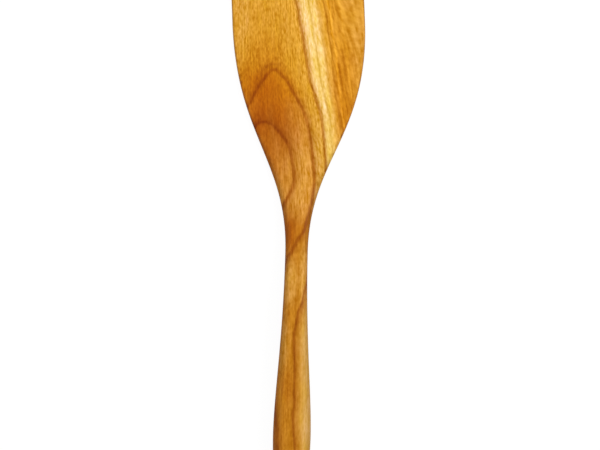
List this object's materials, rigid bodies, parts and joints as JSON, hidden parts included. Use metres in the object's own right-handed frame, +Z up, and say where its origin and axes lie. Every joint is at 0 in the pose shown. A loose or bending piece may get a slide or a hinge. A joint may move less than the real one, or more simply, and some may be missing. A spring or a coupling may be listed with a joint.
{
  "type": "wooden spatula",
  "caption": "Flat wooden turner carved from solid wood: a broad thin blade draws in through long shoulders to a slim neck, and the handle swells to a rounded grip.",
  "frame": {"origin": "on the table, below the middle of the box round the part, as it lies on its back", "axes": "+Y along the handle towards the tip of the blade, +Z up out of the front of the blade, +X to the right seen from the front"},
  "size_m": [0.0684, 0.28, 0.015],
  "materials": {
    "oiled_wood": "satin, hand-rubbed oil over visible growth rings"
  },
  "bodies": {
    "root": {"spatula": "oiled_wood"}
  },
  "joints": []
}
